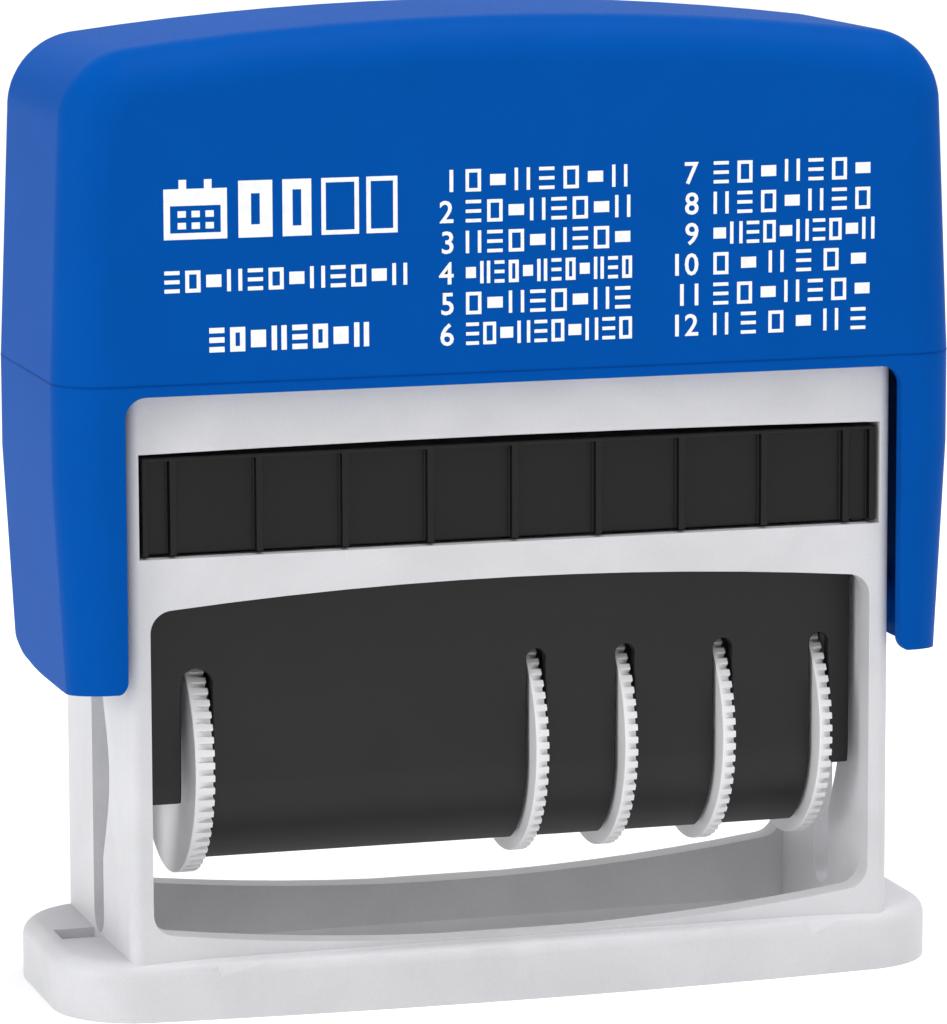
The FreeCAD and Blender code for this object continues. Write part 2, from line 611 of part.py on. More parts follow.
def make_cover():
    """The front wheel cover: a flange beside the print head, an upright wall and a part
    that rolls under the wheels, with a slot for each wheel's rim."""
    body = new_body("front_wheel_cover")
    side = new_sketch(body, "cover_side", "YZ_Plane")
    outer = "cover_half_y"
    inner = "( cover_half_y - cover_wall )"
    outline(side, [
        ("-cover_slit", "cover_top"), ("-cover_half_y", "cover_top"),
        ("-cover_half_y", "cover_axis_z"),
        ("-cover_slit", f"cover_axis_z - ( {outer} ^ 2 - cover_slit ^ 2 ) ^ 0.5"),
        ("-cover_slit", f"cover_axis_z - ( {inner} ^ 2 - cover_slit ^ 2 ) ^ 0.5"),
        (f"-{inner}", "cover_axis_z"), (f"-{inner}", "cover_top - cover_wall"),
        ("-cover_slit", "cover_top - cover_wall"),
    ], {2: (outer, 1), 4: (inner, -1)})
    solid_feature(body, "Pad", "cover_wall_pad", side, "2 * cover_half_x", both=True)
    ends = new_sketch(body, "cover_ends_face", "XZ_Plane")
    box_outline(ends, ("-cover_half_x - cut_over", "0"), ("cover_end_left", "cover_end_z"))
    box_outline(ends, ("cover_end_right", "0"), ("cover_half_x + cut_over", "cover_end_z"))
    solid_feature(body, "Pocket", "cover_ends", ends, "4 * cover_half_y", both=True)
    slots = new_sketch(body, "cover_slots_face", "XZ_Plane")
    for name, rim_left, rim_right, _, _ in WHEELS:
        more = " - cover_slot_wide" if name == "phrase_wheel" else ""
        left = f"( {rim_left} - cover_slot_play{more} )"
        right = f"( {rim_right} + cover_slot_play )"
        half = f"( {right} - {left} ) / 2"
        outline(slots, [
            (left, "0"), (right, "0"),
            (right, f"cover_slot_top - {half}"), (left, f"cover_slot_top - {half}"),
        ], {2: (f"{half} * arch_share", 1)})
    solid_feature(body, "Pocket", "cover_slots", slots, "4 * cover_half_y", both=True)
    return body


def make_anvil():
    """The bar that backs the type, between the cheeks, with fins that part the bands."""
    body = new_body("print_anvil")
    half = "( head_half - band_thick - band_gap )"
    high = "( tray_low - face_gap - type_tall - band_thick - band_gap )"
    side = new_sketch(body, "anvil_side", "YZ_Plane")
    box_outline(side, (f"-{half}", f"{high} - anvil_deep"), (half, high))
    solid_feature(body, "Pad", "anvil_bar", side, "2 * ( cheek_half_x - cheek_thick )", both=True)
    fins = [(BANDS[index][2] + BANDS[index + 1][1]) / 2 for index in range(len(BANDS) - 1)]
    fins += [BANDS[0][1] - size("fin_margin"), BANDS[-1][2] + size("fin_margin")]
    for index, middle in enumerate(fins):
        fin = new_sketch(body, f"fin_side_{index}", "YZ_Plane", f"{middle} - fin_thick / 2")
        box_outline(fin, (f"-{half} - band_thick", f"{high} - anvil_deep"),
                    (f"{half} + band_thick", f"{high} + band_thick"))
        solid_feature(body, "Pad", f"fin_{index}", fin, "fin_thick")
    return body


def band_loop(sketch, grow):
    """One side of a band: around the drum, up both sides and over the print head."""
    radius = f"( hub_r + band_gap + {grow} )"
    half = f"( head_half - band_thick + {grow} )"
    high = f"( tray_low - face_gap - type_tall - band_thick + {grow} )"
    bend = f"( band_bend + {grow} )"
    lean = f"( ( {radius} - {half} ) / ( {high} - {bend} - axle_z ) )"
    out = f"( {radius} * ( 1 - {lean} ^ 2 ) ^ 0.5 )"
    rise = f"( axle_z + {radius} * {lean} )"
    return outline(sketch, [
        (out, rise), (half, f"{high} - {bend}"), (f"{half} - {bend}", high),
        (f"{bend} - {half}", high), (f"-{half}", f"{high} - {bend}"), (f"-{out}", rise),
        ("0", f"axle_z - {radius}"),
    ], {1: (bend, 1), 3: (bend, 1), 5: (radius, 1), 6: (radius, 1)})


def make_band(name, left, right):
    body = new_body(name, (str(left), "0", "0"))
    outer = band_loop(new_sketch(body, f"{name}_outer", "YZ_Plane"), "band_thick")
    solid_feature(body, "Pad", f"{name}_belt", outer, f"{right - left}")
    inner = band_loop(new_sketch(body, f"{name}_inner", "YZ_Plane"), "0")
    solid_feature(body, "Pocket", f"{name}_inside", inner, f"{right - left}", back=True)
    lines = new_sketch(body, f"{name}_type_plan", "XY_Plane", "tray_low - face_gap - type_tall - type_sink")
    box_outline(lines, ("type_margin", "-type_half"), (f"{right - left} - type_margin", "type_half"))
    solid_feature(body, "Pad", f"{name}_type", lines, "type_tall + type_sink")
    return body


def make_wheel(name, rim_left, rim_right, drum_end, boss_end):
    """A rim with grooves that deepen to its right face, a drum for the band and a boss, all
    on one bore. It is drawn about its own axis."""
    body = new_body(name, (str(rim_left), "0", "axle_z"))
    wide = rim_right - rim_left
    rim = new_sketch(body, f"{name}_rim_side", "YZ_Plane")
    circle(rim, ("0", "0"), "rim_r")
    solid_feature(body, "Pad", f"{name}_rim", rim, f"{wide}")
    groove = new_sketch(body, f"{name}_groove_face", "XZ_Plane")
    outline(groove, [
        ("groove_start", "rim_r"), (f"{wide} + groove_over", "rim_r - groove_deep"),
        (f"{wide} + groove_over", "rim_r + groove_over"), ("groove_start", "rim_r + groove_over"),
    ])
    cut = solid_feature(body, "Pocket", f"{name}_groove", groove, "groove_wide", both=True)
    around(body, f"{name}_grooves", cut, "X_Axis", "groove_count")
    for part, far, radius in (("drum", drum_end, "hub_r"), ("boss", boss_end, "boss_wheel_r")):
        low, high = min(far, rim_left), max(far, rim_right)
        if high - low <= wide:
            continue
        section = new_sketch(body, f"{name}_{part}_side", "YZ_Plane", f"{low - rim_left}")
        circle(section, ("0", "0"), radius)
        solid_feature(body, "Pad", f"{name}_{part}", section, f"{high - low}")
    low, high = min(drum_end, boss_end, rim_left), max(drum_end, boss_end, rim_right)
    bore = new_sketch(body, f"{name}_bore_side", "YZ_Plane", f"{low - rim_left}")
    circle(bore, ("0", "0"), "axle_r + pin_play")
    solid_feature(body, "Pocket", f"{name}_bore", bore, f"{high - low}", back=True)
    return body


# ---- ink pad and its tray ---------------------------------------------------------------

def make_tray():
    """The tray fills the pad window; its face is divided into cells by upright ribs."""
    body = new_body("pad_tray")
    plan = new_sketch(body, "tray_plan", "XY_Plane", "tray_low")
    box_outline(plan, ("-tray_half_x", "-tray_half_y"), ("tray_half_x", "tray_half_y"))
    solid_feature(body, "Pad", "tray_block", plan, "tray_high - tray_low")
    cells = new_sketch(body, "cell_face", "XZ_Plane", "tray_half_y")
    edges = ["-tray_half_x + tray_end"]
    for place in range(-4, 5):
        edges += [f"{place} * tray_rib_pitch - tray_rib_half", f"{place} * tray_rib_pitch + tray_rib_half"]
    edges.append("tray_half_x - tray_end")
    for left, right in zip(edges[0::2], edges[1::2]):
        box_outline(cells, (left, "tray_low - cut_over"), (right, "tray_high - tray_lip"))
    cut = solid_feature(body, "Pocket", "front_cells", cells, "tray_rib_deep")
    mirrored(body, "rear_cells", [cut], "XZ_Plane")
    well = new_sketch(body, "pad_well_plan", "XY_Plane", "tray_low")
    box_outline(well, ("-pad_half_x - pad_play", "-pad_half_y - pad_play"),
                ("pad_half_x + pad_play", "pad_half_y + pad_play"))
    solid_feature(body, "Pocket", "pad_well", well, "pad_thick", back=True)
    return body


def make_pad():
    body = new_body("ink_pad", ("0", "0", "tray_low"))
    plan = new_sketch(body, "pad_plan", "XY_Plane")
    box_outline(plan, ("-pad_half_x", "-pad_half_y"), ("pad_half_x", "pad_half_y"))
    solid_feature(body, "Pad", "pad_block", plan, "pad_thick")
    thick = size("pad_thick")
    dress(body, "Fillet", "pad_corners", "pad_corner", lambda edge: near(edge.BoundBox.ZLength, thick))
    return body


def make_spring():
    """The right compression spring, between the frame's deck and the cap's ceiling."""
    wire_r = size("spring_wire")
    tall = size("cap_ceiling") - size("deck_high") - 2 * wire_r - size("spring_play")
    path = Part.makeHelix(tall / size("spring_turns"), tall, size("spring_r"))
    start = Vector(size("spring_r"), 0, 0)
    section = Part.Wire(Part.makeCircle(wire_r, start, Vector(0, 1, 0)))
    spring = doc.addObject("Part::Feature", "return_spring_right")
    spring.Label = "return_spring_right"
    spring.Shape = Part.Wire(path.Edges).makePipeShell([section], True, True)
    bind(spring, "Placement.Base.x", "spring_x")
    bind(spring, "Placement.Base.z", "deck_high + spring_wire")
    doc.recompute()
    return spring


pieces = [make_frame(), make_cap()]
right_cheek = make_cheek()
pieces += [right_cheek, mirror_of(right_cheek, "carriage_cheek_left", Vector(1, 0, 0))]
front_cover = make_cover()
pieces += [front_cover, mirror_of(front_cover, "rear_wheel_cover", Vector(0, 1, 0))]
pieces.append(make_anvil())
pieces.append(make_rod("wheel_axle", "-cheek_half_x", "cheek_half_x", "axle_z", "axle_r"))
pin = make_rod("pivot_pin_right", "cheek_half_x - cheek_thick", "bore_reach - pin_end_gap",
               "pivot_z", "pivot_r")
pieces += [pin, mirror_of(pin, "pivot_pin_left", Vector(1, 0, 0))]
pieces += [make_wheel(*wheel) for wheel in WHEELS]
pieces += [make_band(*band) for band in BANDS]
pieces += [make_tray(), make_pad()]
right_spring = make_spring()
pieces += [right_spring, mirror_of(right_spring, "return_spring_left", Vector(1, 0, 0))]

failed = [item.Label for item in doc.Objects if {"Invalid", "Error"} & set(item.State)]
failed += [piece.Label for piece in pieces if piece.Shape.isNull() or not piece.Shape.isValid()]
if failed:
    raise RuntimeError("failed: " + ", ".join(failed))
os.makedirs("parts", exist_ok=True)
for piece in pieces:
    shape = piece.Shape
    print(f"{piece.Label:22s} solids {len(shape.Solids)}  volume {shape.Volume:9.1f} mm3")
    shape.exportStep(f"parts/{piece.Label}.step")
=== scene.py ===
"""The looks of the rotary date stamp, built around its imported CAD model, in that model's frame.

Lengths are in millimetres where they are multiplied by MM, and in metres elsewhere.
"""

import math

import bmesh
import bpy
from mathutils import Matrix, Quaternion, Vector, noise


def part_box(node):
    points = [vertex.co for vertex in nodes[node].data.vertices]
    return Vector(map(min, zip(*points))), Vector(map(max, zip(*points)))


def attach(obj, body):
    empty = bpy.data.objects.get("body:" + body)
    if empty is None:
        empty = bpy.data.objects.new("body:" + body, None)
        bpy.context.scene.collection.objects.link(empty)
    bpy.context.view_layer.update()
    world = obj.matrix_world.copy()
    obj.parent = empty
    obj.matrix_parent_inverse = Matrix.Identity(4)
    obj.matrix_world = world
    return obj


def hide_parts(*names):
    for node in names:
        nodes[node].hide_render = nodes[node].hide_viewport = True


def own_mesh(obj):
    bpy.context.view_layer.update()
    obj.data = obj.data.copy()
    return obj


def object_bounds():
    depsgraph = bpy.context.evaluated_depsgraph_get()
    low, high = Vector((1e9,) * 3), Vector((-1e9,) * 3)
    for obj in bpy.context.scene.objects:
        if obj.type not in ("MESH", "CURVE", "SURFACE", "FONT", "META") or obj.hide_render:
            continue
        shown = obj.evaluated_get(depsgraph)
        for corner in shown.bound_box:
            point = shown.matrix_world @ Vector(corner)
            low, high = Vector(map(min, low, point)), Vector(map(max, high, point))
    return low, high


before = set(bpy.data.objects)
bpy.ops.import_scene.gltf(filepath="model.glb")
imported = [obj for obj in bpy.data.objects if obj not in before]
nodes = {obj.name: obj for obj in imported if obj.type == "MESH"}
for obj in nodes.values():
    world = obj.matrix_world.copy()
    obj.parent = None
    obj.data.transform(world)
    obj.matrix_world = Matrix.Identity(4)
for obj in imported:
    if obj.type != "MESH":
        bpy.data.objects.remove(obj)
cad_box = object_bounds()
scene = bpy.context.scene
MM = 0.001

# ---- materials -------------------------------------------------------------------------------


class Shader:
    """A material's node tree around one Principled shader."""

    def __init__(self, name, **plain):
        self.material = bpy.data.materials.new(name)
        self.material.use_nodes = True
        self.tree = self.material.node_tree
        self.shader = self.tree.nodes["Principled BSDF"]
        for socket, value in plain.items():
            self.shader.inputs[socket.replace("_", " ")].default_value = value
        self.place = self.add("ShaderNodeTexCoord").outputs["Object"]

    def add(self, kind, **settings):
        node = self.tree.nodes.new(kind)
        for key, value in settings.items():
            setattr(node, key, value)
        return node

    def link(self, source, target):
        self.tree.links.new(source, target)

    def stretched(self, scale):
        """Object coordinates drawn out by a scale for each axis."""
        mapping = self.add("ShaderNodeMapping")
        mapping.inputs["Scale"].default_value = scale
        self.link(self.place, mapping.inputs["Vector"])
        return mapping.outputs["Vector"]

    def noise(self, size, detail=2.0, rough=0.5, place=None, warp=0.0):
        """Noise whose features are about size millimetres across."""
        node = self.add("ShaderNodeTexNoise")
        node.inputs["Scale"].default_value = 1.0 / (size * MM)
        node.inputs["Detail"].default_value = detail
        node.inputs["Roughness"].default_value = rough
        node.inputs["Distortion"].default_value = warp
        self.link(place or self.place, node.inputs["Vector"])
        return node.outputs["Fac"]

    def spread(self, value, low, high, to_low, to_high):
        """A number that goes from to_low to to_high as value goes from low to high."""
        node = self.add("ShaderNodeMapRange")
        ends = {"From Min": low, "From Max": high, "To Min": to_low, "To Max": to_high}
        for socket, number in ends.items():
            node.inputs[socket].default_value = number
        self.link(value, node.inputs["Value"])
        return node.outputs["Result"]

    def colours(self, value, low, high, dark, light):
        """A colour that goes from dark to light as value goes from low to high."""
        ramp = self.add("ShaderNodeValToRGB")
        first, last = ramp.color_ramp.elements
        first.position, first.color = low, (*dark, 1.0)
        last.position, last.color = high, (*light, 1.0)
        self.link(value, ramp.inputs["Fac"])
        return ramp.outputs["Color"]

    def mixed(self, factor, a, b, blend="MIX"):
        """Colour a mixed with colour b; each of the three may be a socket or a plain value."""
        node = self.add("ShaderNodeMix", data_type="RGBA", blend_type=blend)
        for socket, value in ((0, factor), (6, a), (7, b)):
            if isinstance(value, bpy.types.NodeSocket):
                self.link(value, node.inputs[socket])
            elif socket == 0:
                node.inputs[socket].default_value = value
            else:
                node.inputs[socket].default_value = (*value, 1.0)
        return node.outputs[2]

    def sum(self, a, b):
        node = self.add("ShaderNodeMath", operation="ADD")
        self.link(a, node.inputs[0])
        self.link(b, node.inputs[1])
        return node.outputs[0]

    def bump(self, height, distance, strength, under=None):
        """A normal for relief that is distance millimetres deep, on top of the normal under it."""
        node = self.add("ShaderNodeBump")
        node.inputs["Distance"].default_value = distance * MM
        node.inputs["Strength"].default_value = strength
        self.link(height, node.inputs["Height"])
        if under is not None:
            self.link(under, node.inputs["Normal"])
        return node.outputs["Normal"]

    def into(self, socket, value):
        self.link(value, self.shader.inputs[socket])


MOST = (0.3, 0.7)  # the range that most of a noise's values lie in


def shade(colour, factor):
    return tuple(channel * factor for channel in colour)


def plastic(name, colour, rough, grain, depth, specular, patch=0.05):
    """Moulded plastic: spark-eroded grain, faint flow marks, and fine handling scuffs in the gloss."""
    look = Shader(name, IOR=1.5, Specular_IOR_Level=specular)
    flow = look.noise(9.0, detail=3.0, warp=0.6)
    tone = look.colours(flow, *MOST, shade(colour, 1.0 - patch), shade(colour, 1.0 + patch))
    speck = look.noise(0.12, detail=1.0)
    fine = look.colours(speck, 0.35, 0.65, (1.0 - patch,) * 3, (1.0,) * 3)
    look.into("Base Color", look.mixed(1.0, tone, fine, "MULTIPLY"))
    texture = look.noise(grain, detail=3.0, rough=0.6)
    scratch = look.noise(0.35, detail=4.0, rough=0.7, place=look.stretched((0.12, 1.0, 1.6)))
    gloss = look.spread(texture, *MOST, rough - 0.04, rough + 0.05)
    rubbed = look.spread(scratch, 0.56, 0.72, 0.0, 0.06)
    look.into("Roughness", look.sum(gloss, rubbed))
    waves = look.bump(flow, 0.02, 0.35)
    look.into("Normal", look.bump(texture, depth, 0.6, waves))
    return look.material


def rubber(name, colour, ink):
    """Band rubber: matte and dusty, with ink left in its low places."""
    look = Shader(name, IOR=1.45, Specular_IOR_Level=0.3, Sheen_Weight=0.15, Sheen_Roughness=0.5)
    patches = look.noise(1.6, detail=4.0, rough=0.6, warp=0.8)
    stained = look.spread(patches, 0.45, 0.66, 0.0, 0.7)
    grit = look.noise(0.07, detail=2.0)
    body = look.colours(grit, *MOST, shade(colour, 0.85), shade(colour, 1.15))
    look.into("Base Color", look.mixed(stained, body, ink))
    look.into("Roughness", look.spread(patches, *MOST, 0.78, 0.62))
    look.into("Normal", look.bump(grit, 0.006, 0.5))
    return look.material


def drawn_steel(name, colour, along, rough=0.28):
    """Drawn wire: die lines along the wire, and a little dullness between them."""
    look = Shader(name, Metallic=1.0, IOR=2.5)
    lines = look.noise(0.09, detail=3.0, rough=0.6, place=look.stretched(along))
    dull = look.noise(1.3, detail=4.0, rough=0.65)
    look.into("Base Color", look.colours(dull, 0.32, 0.7, shade(colour, 0.78), colour))
    look.into("Roughness", look.sum(look.spread(lines, *MOST, rough - 0.07, rough + 0.08),
                                    look.spread(dull, 0.5, 0.75, 0.0, 0.12)))
    look.into("Normal", look.bump(lines, 0.002, 0.4))
    return look.material


def felt(name, dry, wet):
    """Inked felt: matted fibres, darker and glossier where the ink stands."""
    look = Shader(name, IOR=1.4, Specular_IOR_Level=0.35, Sheen_Weight=0.25, Sheen_Roughness=0.4)
    soaked = look.noise(3.5, detail=4.0, rough=0.6, warp=1.0)
    fibres = look.noise(0.16, detail=4.0, rough=0.7, place=look.stretched((0.35, 1.0, 1.0)), warp=1.5)
    tone = look.colours(soaked, 0.35, 0.65, wet, dry)
    thread = look.colours(fibres, *MOST, (0.6, 0.6, 0.6), (1.0, 1.0, 1.0))
    look.into("Base Color", look.mixed(1.0, tone, thread, "MULTIPLY"))
    look.into("Roughness", look.spread(soaked, 0.35, 0.65, 0.5, 0.9))
    look.into("Normal", look.bump(fibres, 0.12, 0.9))
    return look.material


def print_ink(name, colour):
    """Pad-printed ink: an even film with a fine orange peel and slightly thin spots."""
    look = Shader(name, IOR=1.5, Specular_IOR_Level=0.4)
    peel = look.noise(0.22, detail=2.0)
    thin = look.noise(0.9, detail=4.0, rough=0.6)
    look.into("Base Color", look.colours(thin, 0.3, 0.55, shade(colour, 0.92), colour))
    look.into("Roughness", look.spread(peel, *MOST, 0.38, 0.52))
    look.into("Normal", look.bump(peel, 0.003, 0.5))
    return look.material


WHITE = plastic("white_abs", (0.605, 0.605, 0.625), rough=0.46, grain=0.16, depth=0.005, specular=0.35)
LIGHT = plastic("light_abs", (0.63, 0.63, 0.65), rough=0.42, grain=0.14, depth=0.004, specular=0.4)
WHEEL = plastic("wheel_nylon", (0.77, 0.77, 0.785), rough=0.5, grain=0.11, depth=0.004, specular=0.35)
BLUE = plastic("blue_abs", (0.001, 0.072, 0.345), rough=0.38, grain=0.2, depth=0.003, specular=0.008,
               patch=0.03)
# the seam's darker blue is painted shade: the cap's own blue, darkened where the seam's fine step would
# shade
SEAM_SHADE_BLUE = plastic("blue_seam_painted_shade", (0.0, 0.05, 0.265), rough=0.5, grain=0.2, depth=0.003, specular=0.018)
BLACK = plastic("black_abs", (0.0085, 0.0085, 0.0095), rough=0.42, grain=0.13, depth=0.006, specular=0.32,
                patch=0.12)
TRAY = plastic("tray_abs", (0.0055, 0.0055, 0.0065), rough=0.36, grain=0.13, depth=0.005, specular=0.24,
               patch=0.12)
BAND = rubber("band_rubber", (0.17, 0.16, 0.15), (0.012, 0.014, 0.05))
TYPE = rubber("type_rubber", (0.10, 0.095, 0.10), (0.008, 0.01, 0.045))
PIN = drawn_steel("pin_steel", (0.62, 0.62, 0.64), (0.06, 1.0, 1.0))
SPRING = drawn_steel("spring_steel", (0.5, 0.5, 0.52), (0.25, 0.25, 1.0), rough=0.33)
FELT = felt("inked_felt", (0.02, 0.028, 0.11), (0.006, 0.009, 0.05))
PRINT = print_ink("white_print", (0.86, 0.87, 0.88))

# ---- the CAD nodes: softened edges and their plastics ----------------------------------------

# of each node: its material, and the width of its softened edges
CAD_LOOKS = {
    "base_frame": (WHITE, 0.22), "cap_shell": (BLUE, 0.16),
    "carriage_cheek_left": (LIGHT, 0.12), "carriage_cheek_right": (LIGHT, 0.12),
    "front_wheel_cover": (BLACK, 0.16), "rear_wheel_cover": (BLACK, 0.16),
    "print_anvil": (LIGHT, 0.08), "wheel_axle": (PIN, 0.06),
    "pivot_pin_left": (PIN, 0.05), "pivot_pin_right": (PIN, 0.05),
    "pad_tray": (TRAY, 0.1),
    "phrase_wheel": (WHEEL, 0.06), "day_tens_wheel": (WHEEL, 0.06), "day_units_wheel": (WHEEL, 0.06),
    "month_wheel": (WHEEL, 0.06), "year_wheel": (WHEEL, 0.06),
}
SHARP = math.radians(34)
FLAT = math.radians(0.3)
WELD = 0.002


def soften(piece, width):
    """Welds the seams between CAD faces and rounds the sharp edges by width millimetres."""
    normals = piece.data.attributes.get("custom_normal")
    if normals is not None:
        piece.data.attributes.remove(normals)
    piece.data.shade_smooth()
    piece.modifiers.new("seams", "WELD").merge_threshold = WELD * MM
    flats = piece.modifiers.new("flats", "DECIMATE")
    flats.decimate_type, flats.angle_limit = "DISSOLVE", FLAT
    bevel = piece.modifiers.new("edges", "BEVEL")
    bevel.limit_method, bevel.angle_limit = "ANGLE", SHARP
    bevel.width, bevel.segments = width * MM, 2
    even = piece.modifiers.new("even", "WEIGHTED_NORMAL")
    even.mode, even.weight, even.keep_sharp = "FACE_AREA_WITH_ANGLE", 50, False


def dress(piece, material):
    piece.data.materials.clear()
    piece.data.materials.append(material)


for name, (material, width) in CAD_LOOKS.items():
    dress(nodes[name], material)
    soften(nodes[name], width)

# ---- helpers for the pieces made here --------------------------------------------------------


def piece_from(mesh, name, material, body, smooth=False):
    """A visible piece that rides on a body of the model."""
    piece = bpy.data.objects.new(name, mesh)
    scene.collection.objects.link(piece)
    if smooth:
        mesh.shade_smooth()
    else:
        mesh.shade_flat()
    dress(piece, material)
    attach(piece, body)
    return piece


def mesh_from(shape, name):
    """A mesh from a bmesh, which is freed."""
    mesh = bpy.data.meshes.new(name)
    bmesh.ops.recalc_face_normals(shape, faces=shape.faces)
    shape.to_mesh(mesh)
    shape.free()
    return mesh


CAPITAL = 0.72  # height of a numeral in the built-in font, as a share of the font's size


def glyph(text, tall, deep, bold=0.0):
    """A numeral as a raised solid, centred, tall millimetres high."""
    curve = bpy.data.curves.new("glyph", "FONT")
    curve.body, curve.extrude, curve.resolution_u = text, deep * MM / 2, 3
    curve.size = tall * MM / CAPITAL
    curve.offset = bold * MM
    curve.align_x, curve.align_y = "CENTER", "CENTER"
    holder = bpy.data.objects.new("glyph", curve)
    scene.collection.objects.link(holder)
    bpy.context.view_layer.update()
    mesh = bpy.data.meshes.new_from_object(holder.evaluated_get(bpy.context.evaluated_depsgraph_get()))
    bpy.data.objects.remove(holder)
    corners = [v.co for v in mesh.vertices]
    middle = Vector([(min(c[i] for c in corners) + max(c[i] for c in corners)) / 2 for i in range(3)])
    mesh.transform(Matrix.Translation(-middle))
    return mesh


def add_box(shape, low, high, place=Matrix.Identity(4)):
    """A box between two corners, in millimetres."""
    size = [(b - a) * MM for a, b in zip(low, high)]
    middle = [(a + b) / 2 * MM for a, b in zip(low, high)]
    made = bmesh.ops.create_cube(shape, size=1.0)
    bmesh.ops.transform(shape, verts=made["verts"],
                        matrix=place @ Matrix.Translation(middle) @ Matrix.Diagonal((*size, 1.0)))


def add_mesh(shape, mesh, place):
    """Adds a mesh to a bmesh at a place."""
    kept = len(shape.verts)
    shape.from_mesh(mesh)
    shape.verts.ensure_lookup_table()
    bmesh.ops.transform(shape, verts=shape.verts[kept:], matrix=place)


# ---- the print on the cap: numerals, and plain marks where words would be --------------------

CAP_HALF_DEEP = 12.9
PRINT_Y = -CAP_HALF_DEEP
PRINT_PROUD, PRINT_SUNK = 0.025, 0.02
ROWS, ROWS_TOP, ROW_PITCH, ROW_TALL = 6, 65.45, 2.4, 1.75
STROKE, BOLD, BLOCK_SHARE = 0.27, 0.03, 1.6
MARK_KINDS, MARK_WIDE, MARK_INSET, MARK_GAP = 4, 1.25, 0.1, 0.35
# of each column: the marks in each row, the right edge of its numerals, and where its marks start and end
MARKS = (7, 8, 8, 12, 8, 10), (7, 7, 10, 6, 7, 6)
COLUMNS = ((-5.5, -4.6, 9.35), (14.6, 15.75, 29.6))


def add_print(shape, x0, z0, x1, z1):
    """A rectangle of the ink film on the cap's front."""
    add_box(shape, (x0, PRINT_Y - PRINT_PROUD, z0), (x1, PRINT_Y + PRINT_SUNK, z1))


def add_outline(shape, x0, z0, x1, z1, stroke):
    add_print(shape, x0, z0, x1, z0 + stroke)
    add_print(shape, x0, z1 - stroke, x1, z1)
    add_print(shape, x0, z0 + stroke, x0 + stroke, z1 - stroke)
    add_print(shape, x1 - stroke, z0 + stroke, x1, z1 - stroke)


def add_mark(shape, kind, x0, z0, x1, z1, stroke):
    """One of four plain marks that fill a letter's cell."""
    middle = (z0 + z1) / 2
    if kind == 0:
        add_outline(shape, x0, z0, x1, z1, stroke)
    elif kind == 1:
        for z in (z0, middle - stroke / 2, z1 - stroke):
            add_print(shape, x0, z, x1, z + stroke)
    elif kind == 2:
        for x in (x0, x1 - stroke):
            add_print(shape, x, z0, x + stroke, z1)
    else:
        add_print(shape, x0, middle - BLOCK_SHARE * stroke, x1, middle + BLOCK_SHARE * stroke)


numbers = bmesh.new()
words = bmesh.new()
for column, (right, start, end) in enumerate(COLUMNS):
    for row in range(ROWS):
        z = ROWS_TOP - row * ROW_PITCH
        figure = glyph(str(column * ROWS + row + 1), ROW_TALL, PRINT_PROUD + PRINT_SUNK, bold=BOLD)
        wide = max(v.co.x for v in figure.vertices)
        place = Vector((right * MM - wide, (PRINT_Y - (PRINT_PROUD - PRINT_SUNK) / 2) * MM, z * MM))
        add_mesh(numbers, figure, Matrix.Translation(place) @ Matrix.Rotation(math.pi / 2, 4, "X"))
        count = MARKS[column][row]
        pitch = (end - start) / count
        for cell in range(count):
            x0 = start + cell * pitch + MARK_INSET
            x1 = x0 + min(pitch - MARK_GAP, MARK_WIDE)
            kind = (cell * 3 + row + column) % MARK_KINDS
            add_mark(words, kind, x0, z - ROW_TALL / 2, x1, z + ROW_TALL / 2, STROKE)
piece_from(mesh_from(numbers, "cap_print_numbers"), "cap_print_numbers", PRINT, "cap")
piece_from(mesh_from(words, "cap_print_lines"), "cap_print_lines", PRINT, "cap")

# The emblem is a calendar leaf with its rings and days, four date frames, and two lines of marks.
EMBLEM_LEFT, EMBLEM_FOOT = -28.6, 61.6
LEAF_RIGHT, LEAF_TOP, LEAF_STROKE = -23.6, 65.5, 0.5
LEAF_HEAD_LOW, LEAF_HEAD_HIGH = 64.2, 65.0
RINGS_X, RING_WIDE, RING_TOP = (-27.4, -25.4), 0.6, 66.2
DAYS_X, DAYS_Z, DAY_WIDE, DAY_TALL = (-27.5, -26.4, -25.3), (62.4, 63.3), 0.65, 0.5
# of each date frame: its left, its right and its stroke
FRAMES = ((-22.7, -20.0, 1.0), (-19.2, -16.9, 0.8), (-16.1, -13.1, 0.35), (-12.5, -10.0, 0.35))
FRAMES_TOP = 66.0
# of each line: how many marks, its left, its foot, its height and its stroke
LINES = ((12, EMBLEM_LEFT, 57.5, 1.7, 0.3), (8, -25.1, 52.8, 1.9, 0.42))
LINE_PITCH, LINE_MARK = 1.65, 1.2

emblem = bmesh.new()
add_outline(emblem, EMBLEM_LEFT, EMBLEM_FOOT, LEAF_RIGHT, LEAF_TOP, LEAF_STROKE)
add_print(emblem, EMBLEM_LEFT + LEAF_STROKE, LEAF_HEAD_LOW, LEAF_RIGHT - LEAF_STROKE, LEAF_HEAD_HIGH)
for x in RINGS_X:
    add_print(emblem, x, LEAF_TOP, x + RING_WIDE, RING_TOP)
for x in DAYS_X:
    for z in DAYS_Z:
        add_print(emblem, x, z, x + DAY_WIDE, z + DAY_TALL)
for x0, x1, stroke in FRAMES:
    add_outline(emblem, x0, EMBLEM_FOOT, x1, FRAMES_TOP, stroke)
for count, start, low, tall, stroke in LINES:
    for cell in range(count):
        x0 = start + cell * LINE_PITCH
        add_mark(emblem, (cell * 3 + 1) % MARK_KINDS, x0, low, x0 + LINE_MARK, low + tall, stroke)
piece_from(mesh_from(emblem, "cap_print_emblem"), "cap_print_emblem", PRINT, "cap")

# ---- the fine seam round the cap, in a darker blue that is painted shade ---------------------

SEAM_LOW, SEAM_HIGH, SEAM_PROUD, SEAM_CORNER = 50.28, 50.44, 0.015, 4.0
CAP_HALF_WIDE, CAP_WALL = 36.8, 1.1

